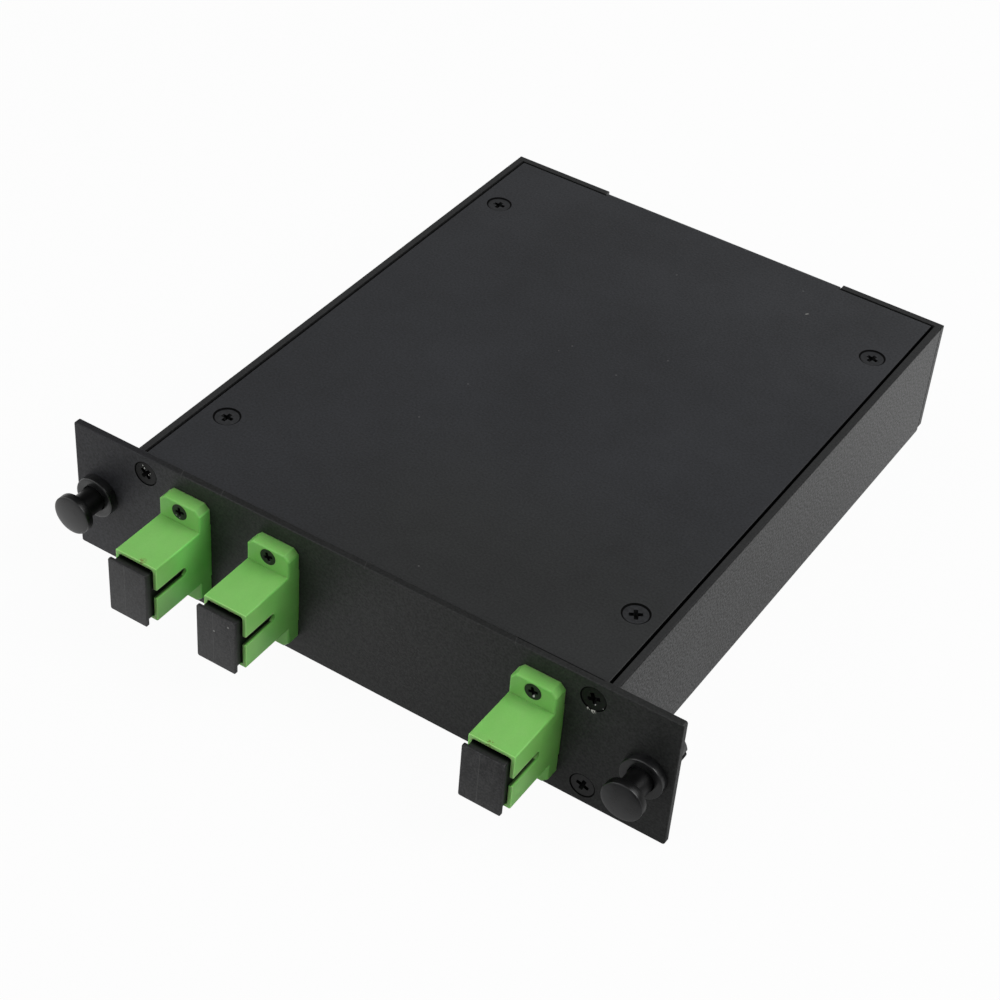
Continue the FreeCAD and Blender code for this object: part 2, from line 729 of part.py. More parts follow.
def plug_frame(x):
    """Inner frame of a plug: it surrounds the ferrule and takes the stem from behind."""
    body = block(frame_width, frame_height, frame_front, frame_rear, x, coupler_z)
    bores = [rod(frame_mouth, frame_front - 1, frame_mouth_end, x, coupler_z),
             rod(ferrule_width + 2 * part_fit, frame_front, frame_web_end + 1, x, coupler_z),
             rod(frame_rear_bore, frame_web_end, frame_rear + 1, x, coupler_z)]
    half = arm_width / 2 + hook_gap
    hook_end = coupler_middle + arm_length + hook_gap
    hook_start = hook_end - arm_hook_length - 2 * hook_gap
    for side in (-1, 1):
        hook_bottom = side * (arm_inner - arm_hook - hook_gap)
        z0, z1 = sorted((coupler_z + hook_bottom, coupler_z + side * frame_height))
        bores.append(box(x - half, x + half, hook_start, hook_end, z0, z1))
    return body.cut(bores)


def ferrule(x):
    """Ceramic ferrule with an angled tip, pressed into its metal collar."""
    tip = coupler_middle + seat_gap
    pin = rod(ferrule_width, tip, ferrule_back, x, coupler_z)
    rise = ferrule_width * math.tan(math.radians(ferrule_angle))
    half = ferrule_width
    wedge = Part.Face(Part.makePolygon([
        Vector(x - half, tip - rise, coupler_z + half), Vector(x - half, tip - rise, coupler_z - half),
        Vector(x - half, tip + 1.5 * rise, coupler_z - half),
        Vector(x - half, tip - rise, coupler_z + half)]))
    wedge = wedge.extrude(Vector(2 * half, 0, 0))
    return fuse([pin, rod(ferrule_collar_width, ferrule_back, ferrule_collar_end, x, coupler_z),
                 rod(ferrule_tail_width, ferrule_collar_end, ferrule_end, x, coupler_z)]).cut(wedge)


def plug_stem(x):
    """Back body of a plug, which takes the lead."""
    body = fuse([rod(stem_body_width, stem_body_start, stem_body_step, x, coupler_z),
                 rod(stem_post_width, stem_body_step, stem_body_end, x, coupler_z)])
    tail_room = rod(ferrule_tail_width + 2 * stem_tail_gap, stem_body_start - 1, ferrule_end + seat_gap,
                    x, coupler_z)
    return body.cut([tail_room, rod(lead_bore, stem_body_start, stem_body_end + 1, x, coupler_z)])


def plug_boot(x):
    """Tapered bend relief pushed over the stem."""
    body = rod(boot_width, boot_start, boot_cone_start, x, coupler_z)
    cone = Part.makeCone(boot_width / 2, boot_tip / 2, boot_end - boot_cone_start,
                         Vector(x, boot_cone_start, coupler_z), Vector(0, 1, 0))
    return fuse([body, cone]).cut([rod(boot_bore, boot_start - 1, stem_body_end + part_fit, x, coupler_z),
                                   rod(lead_bore, boot_start, boot_end + 1, x, coupler_z)])


def lead_path(points, bends):
    """Wire of straight runs joined by tangent arcs, one bend radius for each inner point, and its length."""
    edges = []
    here = points[0]
    for before, corner, after, bend in zip(points, points[1:], points[2:], bends):
        back_way = (before - corner).normalize()
        on_way = (after - corner).normalize()
        half_turn = (math.pi - back_way.getAngle(on_way)) / 2
        tangent = bend * math.tan(half_turn)
        start, end = corner + back_way * tangent, corner + on_way * tangent
        middle_way = (back_way + on_way).normalize()
        middle = corner + middle_way * (bend / math.cos(half_turn) - bend)
        if (start - here).Length > 0.001:
            edges.append(Part.LineSegment(here, start).toShape())
        edges.append(Part.Arc(start, middle, end).toShape())
        here = end
    edges.append(Part.LineSegment(here, points[-1]).toShape())
    return Part.Wire(edges)


def fibre_lead(name, points, bends, bare_at_plug, bare_at_splitter):
    """Jacketed lead along its route, with a bare fibre at each end."""
    path = lead_path(points, bends)
    first = points[0]
    way = (points[1] - points[0]).normalize()
    section = Part.Wire(Part.Circle(first, way, lead_width / 2).toShape())
    jacket = path.makePipe(Part.Face(section))
    ideal = math.pi * lead_width ** 2 / 4 * path.Length
    print(name, "length", round(path.Length, 1), "smallest bend", min(bends), "volume ratio",
          round(jacket.Volume / ideal, 5))
    bare = []
    for end, length in ((points[0], bare_at_plug), (points[-1], bare_at_splitter)):
        out = (end - (points[1] if end is first else points[-2])).normalize()
        bare.append(Part.makeCylinder(bare_fibre / 2, length, end, out))
    return fuse([jacket] + bare)


def leads():
    """The input lead's loop round the tray, and the two output leads' turns into their plugs."""
    level = lead_level
    start_bare = lead_start_gap - seat_gap
    array_gap = (splitter_length - chip_length - 2 * array_length) / 2
    end_bare = array_gap - boot_plug_length - seat_gap
    x = coupler_places["input"]
    routes = {"input": ([
        Vector(x, lead_start, coupler_z), Vector(x, ramp_top_y, coupler_z), Vector(x, ramp_foot_y, level),
        Vector(x, loop_rear_y, level), Vector(loop_left_x, loop_rear_y, level),
        Vector(loop_left_x, loop_front_y, level), Vector(splitter_x, loop_front_y, level),
        Vector(splitter_x, splitter_front + boot_plug_length, level)],
        [ramp_bend, ramp_bend, loop_rear_bend, loop_rear_bend, loop_front_bend, loop_front_bend])}
    turn_start = splitter_rear + boot_stub_length + turn_start_past_boot
    x = coupler_places["output_1"]
    from_x = splitter_x + output_pitch / 2
    outer_turn_bend = (from_x - x) / 2
    turn_y = turn_start + outer_turn_bend
    routes["output_1"] = ([
        Vector(x, lead_start, coupler_z), Vector(x, ramp_top_y, coupler_z), Vector(x, ramp_foot_y, level),
        Vector(x, turn_y, level), Vector(from_x, turn_y, level),
        Vector(from_x, splitter_rear - boot_plug_length, level)],
        [ramp_bend, ramp_bend, outer_turn_bend, outer_turn_bend])
    x = coupler_places["output_2"]
    from_x = splitter_x - output_pitch / 2
    inner_turn_bend = outer_turn_bend - turn_step
    turn_y = turn_start + inner_turn_bend
    turn_x = from_x - 2 * inner_turn_bend
    routes["output_2"] = ([
        Vector(x, lead_start, coupler_z), Vector(x, ramp_top_y, coupler_z),
        Vector(turn_x, inner_ramp_foot_y, level),
        Vector(turn_x, turn_y, level), Vector(from_x, turn_y, level),
        Vector(from_x, splitter_rear - boot_plug_length, level)],
        [inner_ramp_bend, inner_ramp_bend, inner_turn_bend, inner_turn_bend])
    return {name: fibre_lead(name, points, bends, start_bare, end_bare)
            for name, (points, bends) in routes.items()}


def splitter_tube():
    """Thin-walled steel tube round the splitter chip."""
    tube = block(splitter_width, splitter_height, splitter_front, splitter_rear, splitter_x, lead_level,
                 splitter_corner)
    return tube.cut(block(splitter_width - 2 * splitter_wall, splitter_height - 2 * splitter_wall,
                          splitter_front - 1, splitter_rear + 1, splitter_x, lead_level,
                          splitter_corner - splitter_wall))


def splitter_boot(outward, places):
    """Rubber plug in an end of the tube, with a tapered stub for the leads at the given places."""
    end = splitter_front if outward < 0 else splitter_rear
    y0, y1 = sorted((end, end - outward * boot_plug_length))
    inner = splitter_width - 2 * splitter_wall - 2 * inner_fit
    tall = splitter_height - 2 * splitter_wall - 2 * inner_fit
    plug = block(inner, tall, y0, y1, splitter_x, lead_level, splitter_corner - splitter_wall)
    stub = Part.makeCone(boot_stub_width / 2, boot_stub_tip / 2, boot_stub_length,
                         Vector(splitter_x, end, lead_level), Vector(0, outward, 0))
    y0, y1 = sorted((end - outward * (boot_plug_length + 1), end + outward * (boot_stub_length + 1)))
    bores = [rod(lead_bore, y0, y1, x, lead_level) for x in places]
    return fuse([plug, stub]).cut(bores)


def splitter_chip():
    """Planar waveguide chip in the middle of the tube."""
    middle = (splitter_front + splitter_rear) / 2
    tall = splitter_height - 2 * splitter_wall - 2 * inner_fit
    return block(chip_width, tall, middle - chip_length / 2, middle + chip_length / 2, splitter_x, lead_level)


def fibre_array(outward):
    """Grooved glass block bonded to an end of the chip."""
    middle = (splitter_front + splitter_rear) / 2
    y0, y1 = sorted((middle + outward * chip_length / 2, middle + outward * (chip_length / 2 + array_length)))
    tall = splitter_height - 2 * splitter_wall - 2 * inner_fit
    return block(chip_width, tall, y0, y1, splitter_x, lead_level)


def splitter_pad():
    """Foam tape between the splitter's tube and the floor."""
    return box(splitter_x - pad_width / 2, splitter_x + pad_width / 2, splitter_front + pad_end,
               splitter_rear - pad_end, floor_top, floor_top + pad_thickness)


def lead_clip(x, y, along_x):
    """Stick-on saddle that holds a lead above the floor."""
    half = clip_base / 2
    base = box(-half, half, -half, half, floor_top, floor_top + clip_base_thickness)
    top = lead_level + clip_top
    body = box(-clip_body_width / 2, clip_body_width / 2, -clip_body_length / 2, clip_body_length / 2,
               floor_top, top)
    bore = rod(clip_bore, -clip_base, clip_base, 0.0, lead_level)
    slit = box(-clip_slit / 2, clip_slit / 2, -clip_base, clip_base, lead_level, top + 1)
    clip = fuse([base, body]).cut([bore, slit])
    if along_x:
        clip.rotate(Vector(0, 0, 0), Vector(0, 0, 1), 90)
    clip.translate(Vector(x, y, 0))
    return clip


def build():
    """All sub-parts by name."""
    nodes = {"front_panel": front_panel(), "case_tray": case_tray(), "top_cover": top_cover(),
             "cover_screws": cover_screws(), "cover_pillars": cover_pillars(),
             "panel_screws": panel_screws(), "coupler_screws": ear_screws(), "coupler_nuts": ear_nuts()}
    for name, x in coupler_places.items():
        nodes["coupler_" + name] = coupler_housing(x)
        nodes["front_holder_" + name] = sleeve_holder(x, -1)
        nodes["rear_holder_" + name] = sleeve_holder(x, 1)
        nodes["alignment_sleeve_" + name] = alignment_sleeve(x)
        nodes["dust_cap_" + name] = dust_cap(x)
        nodes["plug_housing_" + name] = plug_housing(x)
        nodes["plug_frame_" + name] = plug_frame(x)
        nodes["ferrule_" + name] = ferrule(x)
        nodes["plug_stem_" + name] = plug_stem(x)
        nodes["plug_boot_" + name] = plug_boot(x)
    for name, side in (("left", -1), ("right", 1)):
        nodes["latch_grommet_" + name] = latch_grommet(side)
        nodes["latch_plunger_" + name] = latch_plunger(side)
    for name, lead in leads().items():
        nodes["fibre_lead_" + name] = lead
    nodes["splitter_tube"] = splitter_tube()
    nodes["splitter_boot_input"] = splitter_boot(-1, [splitter_x])
    output_lanes = [splitter_x - output_pitch / 2, splitter_x + output_pitch / 2]
    nodes["splitter_boot_outputs"] = splitter_boot(1, output_lanes)
    nodes["splitter_chip"] = splitter_chip()
    nodes["fibre_array_input"] = fibre_array(-1)
    nodes["fibre_array_outputs"] = fibre_array(1)
    nodes["splitter_pad"] = splitter_pad()
    rear_middle = (loop_left_x + coupler_places["input"]) / 2
    front_middle = loop_left_x + loop_front_bend
    side_middle = (loop_rear_y - loop_rear_bend + loop_front_y + loop_front_bend) / 2
    nodes["lead_clip_side"] = lead_clip(loop_left_x, side_middle, False)
    nodes["lead_clip_rear"] = lead_clip(rear_middle, loop_rear_y, True)
    nodes["lead_clip_front"] = lead_clip(front_middle, loop_front_y, True)
    return nodes


os.makedirs("parts", exist_ok=True)
for node, shape in build().items():
    if not shape.isValid():
        print("not valid:", node)
    shape.exportStep("parts/" + node + ".step")
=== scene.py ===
import math

import bmesh
import bpy
from mathutils import Matrix, Vector


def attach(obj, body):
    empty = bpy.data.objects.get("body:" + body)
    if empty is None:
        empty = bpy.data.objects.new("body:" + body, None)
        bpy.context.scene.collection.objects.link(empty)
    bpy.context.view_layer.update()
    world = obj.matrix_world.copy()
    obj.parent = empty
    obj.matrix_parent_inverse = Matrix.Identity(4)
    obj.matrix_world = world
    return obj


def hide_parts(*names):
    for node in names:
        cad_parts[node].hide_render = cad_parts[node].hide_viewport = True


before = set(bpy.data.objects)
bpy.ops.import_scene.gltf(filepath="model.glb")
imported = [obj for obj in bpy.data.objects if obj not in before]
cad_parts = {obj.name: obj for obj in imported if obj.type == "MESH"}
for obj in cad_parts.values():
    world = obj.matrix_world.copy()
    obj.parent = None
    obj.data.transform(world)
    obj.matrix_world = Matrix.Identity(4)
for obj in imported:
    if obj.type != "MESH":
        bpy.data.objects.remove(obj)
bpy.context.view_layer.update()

# Case tray. One sheet of 1.5 mm steel: floor, side walls, flanges behind the panel, notched rear wall.
# It is folded, then coated all over with black powder, which bakes to a fine grain with a dull shine.


class Wire:
    """A shader socket that takes part in sums, so a finish reads as a formula."""

    def __init__(self, socket):
        self.socket = socket
        self.tree = socket.id_data

    def node(self, kind, settings=None, sockets=None, output=0):
        """Adds a node: its settings first, then the values or wires of its sockets."""
        made = self.tree.nodes.new("ShaderNode" + kind)
        for name, value in (settings or {}).items():
            setattr(made, name, value)
        for name, value in (sockets or {}).items():
            self.plug(value, made.inputs[name])
        return Wire(made.outputs[output])

    def plug(self, value, socket):
        """Sets a socket to a plain value, or links a wire to it."""
        if isinstance(value, Wire):
            self.tree.links.new(value.socket, socket)
        else:
            socket.default_value = value

    def sum(self, operation, first, second=0.0):
        return self.node("Math", {"operation": operation}, {0: first, 1: second})

    def __add__(self, other):
        return self.sum("ADD", self, other)

    __radd__ = __add__

    def __sub__(self, other):
        return self.sum("SUBTRACT", self, other)

    def __rsub__(self, other):
        return self.sum("SUBTRACT", other, self)

    def __mul__(self, other):
        return self.sum("MULTIPLY", self, other)

    __rmul__ = __mul__

    def __abs__(self):
        return self.sum("ABSOLUTE", self)

    def grain(self, size, detail=2.0, roughness=0.5):
        """Noise whose blobs are about size metres across, from 0 to 1 round 0.5."""
        return self.node("TexNoise", None, {"Vector": self, "Scale": 1 / size, "Detail": detail,
                                            "Roughness": roughness})

    def fade(self, low, high, to_low=0.0, to_high=1.0):
        """The value between low and high, eased into the range between to_low and to_high."""
        return self.node("MapRange", {"interpolation_type": "SMOOTHSTEP"}, {
            "Value": self, "From Min": low, "From Max": high, "To Min": to_low, "To Max": to_high})

    def fall(self, low, high):
        """1 up to low, 0 from high on."""
        return self.fade(low, high, 1.0, 0.0)

    def most(self, other):
        """The larger of two values."""
        return self.sum("MAXIMUM", self, other)

    def tint(self, dark, light):
        """A colour between two colours, led by this value."""
        return self.node("Mix", {"data_type": "RGBA"}, {"Factor": self, 6: (*dark, 1), 7: (*light, 1)}, 2)

    def over(self, below, colour):
        """A colour laid over another one, as thick as this value."""
        return self.node("Mix", {"data_type": "RGBA"}, {"Factor": self, 6: below, 7: (*colour, 1)}, 2)

    def dye(self, below, by):
        """A colour multiplied by another one, as strongly as this value."""
        return self.node("Mix", {"data_type": "RGBA", "blend_type": "MULTIPLY"},
                         {"Factor": self, 6: below, 7: (*by, 1)}, 2)

    def axis(self, name):
        return self.node("SeparateXYZ", None, {"Vector": self}, "XYZ".index(name))

    def spot(self, centre, radius, soft=0.5):
        """1 within a ball round a point on the object, fading to 0 at its edge."""
        away = self.node("VectorMath", {"operation": "DISTANCE"}, {0: self, 1: centre}, 1)
        return away.fall(radius * (1 - soft), radius)

    def specks(self, spacing, radius, share):
        """Round specks up to a radius: at most one in each cell of the spacing, in a share of the cells."""
        cells = self.node("TexVoronoi", None, {"Vector": self, "Scale": 1 / spacing})
        draw = Wire(cells.socket.node.outputs["Color"]).axis("X")
        return cells.fall(radius * 0.6 / spacing, radius / spacing) * draw.fall(share, share + 0.02)


def finish(name, **constants):
    """A new material with plain values on its surface sockets; returns it with its object coordinates."""
    material = bpy.data.materials.new(name)
    material.use_nodes = True
    surface = material.node_tree.nodes["Principled BSDF"]
    for socket, value in constants.items():
        surface.inputs[socket.replace("_", " ")].default_value = value
    place = Wire(material.node_tree.nodes.new("ShaderNodeTexCoord").outputs["Object"])
    return material, place


def lay_on(material, place, colour, roughness=None, height=None, depth=0.0, metal=None):
    """Joins a finish's changing inputs to its surface; height feeds a bump that is depth metres deep."""
    surface = material.node_tree.nodes["Principled BSDF"]
    place.plug(colour, surface.inputs["Base Color"])
    if roughness is not None:
        place.plug(roughness, surface.inputs["Roughness"])
    if metal is not None:
        place.plug(metal, surface.inputs["Metallic"])
    if height is not None:
        bump = place.node("Bump", None, {"Height": height, "Distance": depth, "Strength": 1.0})
        place.plug(bump, surface.inputs["Normal"])
    return material


def coat(names, material):
    """Gives CAD nodes their finish."""
    for name in names:
        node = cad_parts[name]
        node.data.materials.clear()
        node.data.materials.append(material)


pebble_size, speckle_size, cloud_size, tone_size = 0.0003, 0.00045, 0.0045, 0.022
dust_spacing, dust_radius, dust_share = 0.007, 0.00016, 0.12
dust_grey = (0.3, 0.3, 0.28)


def powder_coat(name, dark, light, shine, grit, relief, marks):
    """Black powder coat: pebbles relief metres high, speckles as strong as grit, clouds, dust, and marks."""
    material, place = finish(name, Specular_IOR_Level=shine)
    pebbles = place.grain(pebble_size, 2.0, 0.6)
    speckle = place.grain(speckle_size, 1.0, 0.6)
    cloud = place.grain(cloud_size, 2.0)
    tone = place.grain(tone_size, 2.0)
    dust = place.specks(dust_spacing, dust_radius, dust_share)
    colour = (speckle - 0.5) * grit + (cloud - 0.5) * (0.2 * grit) + (tone - 0.5) * 0.4
    colour = (colour + 0.5).fade(0.0, 1.0).tint(dark, light)
    colour = (dust * 0.25).over(colour, dust_grey)
    roughness = (tone + cloud) * 0.07 - (speckle - 0.5) * (0.12 * grit) + 0.47
    colour, roughness, metal = marks(place, colour, roughness)
    return lay_on(material, place, colour, roughness, pebbles * 0.5 + speckle, relief, metal)


wall_outer = 0.0513
wall_inner = 0.0498
rim_top = 0.0135
rear_seam = 0.12895
slit_depth = 0.0016
seam_line = (0.00006, 0.00022)
rim_black = (0.0052, 0.0056, 0.0060)
deep_black = (0.001, 0.001, 0.001)


def tray_marks(place, colour, roughness):
    """Darker along the rims and just under them outside, painted shade on the walls in the cover's slit, and
    the rear wall's seam.
    """
    across, back, up = abs(place.axis("X")), place.axis("Y"), place.axis("Z")
    rim = up.fade(rim_top - 0.0002, rim_top - 0.00002)
    colour = (rim * 0.88).over(colour, rim_black)
    on_side = across.fade(wall_outer - 0.0002, wall_outer - 0.00005)
    seam = abs(back - rear_seam).fall(*seam_line)
    brow = up.fade(rim_top - 0.0005, rim_top - 0.00015)
    within = across.fall(wall_inner + 0.00005, wall_inner + 0.00015)
    within = within * back.fall(rear_seam + 0.00005, rear_seam + 0.00015)
    # Painted shade: the walls inside the cover's slit are laid near black, with a metal share.
    slit = within * up.fade(rim_top - slit_depth - 0.0001, rim_top - slit_depth)
    line = (seam.most(brow * 0.6) * on_side).most(slit * 0.85)
    return (line * 0.9).over(colour, deep_black), roughness + line * 0.3, line * 0.6


coat(["case_tray"], powder_coat("tray_powder_coat", (0.012, 0.0123, 0.0123), (0.060, 0.0610, 0.0616),
                                0.44, 3.1, 0.00003, tray_marks))

# Cover pillars and coupler nuts. Free-cutting steel, plated with zinc: a pale silver with a faint
# blue cast and the turning marks of the tool. The pillars are clinched into the tray's floor.


def zinc_plate(name, dark, light):
    """Bright zinc plating over fine tool marks."""
    material, place = finish(name, Metallic=1.0)
    cloud = place.grain(0.0016, 3.0)
    scratches = place.node("Mapping", None, {"Vector": place, "Scale": (1, 1, 14)}).grain(0.0008, 2.0)
    return lay_on(material, place, (cloud * 0.6 + scratches * 0.4).tint(dark, light), cloud * 0.2 + 0.22,
                  scratches, 0.000008)


zinc = zinc_plate("zinc_plated_steel", (0.42, 0.43, 0.46), (0.72, 0.73, 0.76))
coat(["cover_pillars", "coupler_nuts"], zinc)

# Splitter. A thin stainless tube, closed by two rubber boots, holds a waveguide chip between two glass
# fibre blocks. It lies on a strip of foam tape that is stuck to the floor of the tray.

steel_tube = zinc_plate("stainless_tube", (0.5, 0.49, 0.47), (0.74, 0.73, 0.7))
coat(["splitter_tube"], steel_tube)


def soft_moulding(name, dark, light, roughness, pore, depth):
    """Rubber, foam or soft plastic: matt, with pores of a given size."""
    material, place = finish(name)
    pores = place.grain(pore, 3.0, 0.6)
    tone = place.grain(pore * 12, 2.0)
    return lay_on(material, place, (pores * 0.5 + tone * 0.5).fade(0.25, 0.75).tint(dark, light),
                  pores * 0.15 + roughness, pores, depth)


boot_rubber = soft_moulding("boot_rubber", (0.012, 0.012, 0.013), (0.03, 0.03, 0.032), 0.55, 0.0003, 0.00002)
coat(["splitter_boot_input", "splitter_boot_outputs"], boot_rubber)
coat(["splitter_pad"], soft_moulding("pad_foam", (0.02, 0.02, 0.02), (0.07, 0.07, 0.07), 0.8, 0.0004, 0.0001))

glass, place = finish("splitter_glass", Transmission_Weight=0.75, IOR=1.46)
haze = place.grain(0.0009, 2.0)
lay_on(glass, place, haze.tint((0.70, 0.76, 0.76), (0.88, 0.92, 0.92)), haze * 0.2 + 0.05, haze, 0.000004)
coat(["splitter_chip", "fibre_array_input", "fibre_array_outputs"], glass)

# Fibre leads. Bare glass fibre in a tight white 0.9 mm jacket, extruded, so it is smooth along its length.
# The input lead lies once round the tray in three stick-on saddles; the output leads turn back in one bend.

jacket = soft_moulding("lead_jacket", (0.66, 0.66, 0.62), (0.82, 0.82, 0.78), 0.35, 0.0006, 0.000006)
coat(["fibre_lead_input", "fibre_lead_output_1", "fibre_lead_output_2"], jacket)
saddle = soft_moulding("saddle_plastic", (0.014, 0.014, 0.015), (0.03, 0.03, 0.032), 0.4, 0.0005, 0.00001)
coat(["lead_clip_side", "lead_clip_rear", "lead_clip_front"], saddle)

# Front panel. A flat 1.5 mm steel plate with punched cut-outs, in the same black powder coat as the tray.
# The coat is knocked off in places: ticks on the top edge, and a chip at one screw's rim, painted light as a
# glint.

panel_front = -0.0015
panel_top = 0.0145
tick_width = 0.00013
edge_ticks = [(-0.04, 0.14), (-0.0309, 0.14), (0.00055, 0.12), (0.0316, 0.12)]
chip_glints = [((0.0472, panel_front, 0.00798), 0.0004), ((0.0482, panel_front, 0.0079), 0.00062)]
rear_line = (0.0312, 0.0492)
line_end = 0.0006
blue_end = (-0.05, -0.035)
blue_cast = (1.0, 0.96, 1.2)
pale_crest = (0.028, 0.038)
panel_screw_x = 0.0479
panel_screw_z = 0.0105
panel_sink = 0.00255
shade_black = (0.0015, 0.0015, 0.0015)
tick_grey = (0.16, 0.16, 0.16)
chip_glint_grey = (0.5, 0.49, 0.46)


def from_screws(place, out, other, middle, half):
    """Distance from the nearest of four screws, out from X = 0 and in two rows along another axis."""
    across = abs(abs(place.axis("X")) - out)
    along = abs(abs(place.axis(other) - middle) - half)
    return place.sum("SQRT", across * across + along * along)


def panel_marks(place, colour, roughness):
    """A bluer left end, ticks, painted shade on the top edge, along its back and round the screws, and a chip
    painted as a glint.
    """
    across, back, up = place.axis("X"), place.axis("Y"), place.axis("Z")
    colour = across.fall(*blue_end).dye(colour, blue_cast)
    # Painted shade: the top edge is laid near black, less towards the right, and so is a line along the back
    # of its top face.
    crest = up.fade(panel_top - 0.00012, panel_top - 0.00002)
    start, end = rear_line
    line = across.fade(start, start + line_end) * across.fall(end - line_end, end)
    line = line * back.fade(-0.00042, -0.0003) * up.fade(panel_top - 0.0005, panel_top - 0.0004)
    darkened = (crest * across.fade(*pale_crest, 0.35, 0.22)).most(line)
    colour = (darkened * 0.95).over(colour, shade_black)
    top = up.fade(panel_top - 0.0009, panel_top - 0.0003)
    for x, strength in edge_ticks:
        tick = abs(across - x + back * 0.35).fall(tick_width * 0.4, tick_width)
        colour = (tick * top * strength).over(colour, tick_grey)
    away = from_screws(place, panel_screw_x, "Z", 0.0, panel_screw_z)
    # Painted shade: the gaps round the screw heads are laid near black.
    gap = away.fall(panel_sink, panel_sink + 0.00006)
    colour = (gap * 0.95).over(colour, shade_black)
    # A chipped coat at a screw's rim: its bare steel is painted light grey as a glint, with no metal.
    chip_glint_mask = place.grain(0.0003, 2.0).fade(0.44, 0.52) * away.fade(panel_sink - 0.00012, panel_sink - 0.00004)
    for spot, radius in chip_glints:
        chip_glint_here = place.spot(spot, radius, 0.5) * chip_glint_mask
        colour = chip_glint_here.over(colour, chip_glint_grey)
        gap = gap * (1 - chip_glint_here)
    return colour, roughness + gap * 0.3, (gap * 0.85).most(darkened * 0.8)


coat(["front_panel"], powder_coat("panel_powder_coat", (0.0046, 0.0050, 0.0049), (0.0200, 0.0209, 0.0206),
                                  0.38, 1.35, 0.000025, panel_marks))

# Couplers. Each is a square green moulding with two ears: a connector's mouth in front, another behind.
# Inside, two white halves clip together round a split ceramic sleeve that lines up the ferrules.

coupler_x = {"input": 0.038, "output_1": -0.03765, "output_2": -0.01765}
coupler_z = -0.0002
mouth_y = -0.0167
coupler_half = 0.004625
keyway_wall = 0.0036
keyway_end = -0.0084
keyway_top = 0.001
painted_light_span = (-0.0145, -0.0095)
wall_light_and_shade = {"input": (0.85, 0.92, 0.8), "output_1": (1.0, 1.25, 1.1), "output_2": (0.76, 0.87, 0.77)}
edge_line, shadow_line = (0.00006, 0.00018), (0.00002, 0.00008)
highlight_green = (0.45, 0.78, 0.28)
slot_shade_green = (0.004, 0.012, 0.003)
stain_brown = (0.17, 0.095, 0.03)
smudges = {"input": (0.0374, mouth_y + 0.0003, 0.00605), "output_1": (-0.03645, mouth_y + 0.0004, 0.00605)}


def green_moulding(name, x, dark, light, light_and_shade, stain=None):
    """Satin green plastic with flow marks, painted highlights on its edges, painted light and shade on its
    right wall and keyway, brown at a stain.
    """
    material, place = finish(name, Subsurface_Weight=0.5, Subsurface_Scale=0.0014,
                             Subsurface_Radius=(0.3, 1.0, 0.35), Specular_IOR_Level=0.3)
    across, back, up = place.axis("X"), place.axis("Y"), place.axis("Z")
    flow = place.node("Mapping", None, {"Vector": place, "Scale": (1, 0.35, 1)}).grain(0.006, 3.0)
    fine = place.grain(0.00022, 2.0)
    colour = (flow * 0.7 + fine * 0.3).fade(0.3, 0.7).tint(dark, light)
    right = x + coupler_half
    # Painted light and shade: the right wall towards the panel is dyed lighter on one coupler, darker on the
    # others.
    wall = across.fade(right - 0.0003, right - 0.0001) * back.fade(*painted_light_span)
    colour = wall.dye(colour, light_and_shade)
    # Painted highlights: pale green along the mouth's front edge and the keyway's upper edge.
    rim = back.fall(mouth_y + 0.00003, mouth_y + 0.00025)
    slot = across.fade(x + keyway_wall, x + keyway_wall + 0.0001) * back.fall(keyway_end - 0.001, keyway_end)
    upper = abs(up - keyway_top).fall(*edge_line) * slot
    colour = (rim.most(upper) * 0.55).over(colour, highlight_green)
    # Painted shade: the keyway's lower face is laid dark green inwards from its outer edge.
    lower = abs(up + keyway_top).fall(*shadow_line) * slot * (right - across).fade(0.0001, 0.0005)
    colour = (lower * 0.9).over(colour, slot_shade_green)
    if stain:
        mark = place.spot(stain, 0.001, 0.6) * place.grain(0.00035, 3.0).fade(0.44, 0.54)
        colour = (mark * 0.7).over(colour, stain_brown)
    return lay_on(material, place, colour, flow * 0.12 + 0.36, fine, 0.000006)


for name, x in coupler_x.items():
    coat(["coupler_" + name], green_moulding("coupler_green_" + name, x, (0.187, 0.476, 0.108),
                                             (0.223, 0.530, 0.133), wall_light_and_shade[name], smudges.get(name)))

holder_white = soft_moulding("holder_white", (0.68, 0.68, 0.63), (0.8, 0.8, 0.76), 0.4, 0.0005, 0.000008)
ceramic = soft_moulding("zirconia", (0.78, 0.76, 0.7), (0.86, 0.84, 0.79), 0.12, 0.0009, 0.000002)
for name in coupler_x:
    coat(["front_holder_" + name, "rear_holder_" + name], holder_white)
    coat(["alignment_sleeve_" + name], ceramic)

# Screws. Countersunk machine screws of steel with a black finish: four in the cover, four in the panel,
# and a smaller pair in each coupler's ears. Painted shade darkens their recesses and rims; glints are painted
# on.

ear_screw_rise = 0.00885
ear_screw_top = -0.00435
ear_head = 0.00165
case_head = 0.00235
panel_screw_top = -0.00138
cover_screw_top = 0.01328
cover_screw_x = 0.0444
cover_screw_mid, cover_screw_half = 0.06445, 0.04655
ear_recess, case_recess = 0.0011, 0.0015
screw_darkest = (0.002, 0.0021, 0.0021)
glint_white = (0.6, 0.6, 0.58)
ear_glints = [(-0.0384, -0.0043, 0.00764, 0.00024), (-0.0376, -0.0043, 0.00737, 0.00024),
              (0.03825, -0.0043, 0.00769, 0.0003)]
panel_glints = [(x, panel_screw_top, z, radius) for x, z, radius in (
    (-0.04858, 0.0121, 0.00016), (-0.04819, 0.01163, 0.0002), (-0.04753, 0.01137, 0.00018),
    (-0.04732, 0.01047, 0.00024), (-0.04689, 0.01095, 0.00014), (0.04828, 0.0094, 0.0002),
    (0.04899, 0.01079, 0.00016), (0.04985, 0.0093, 0.00012))]


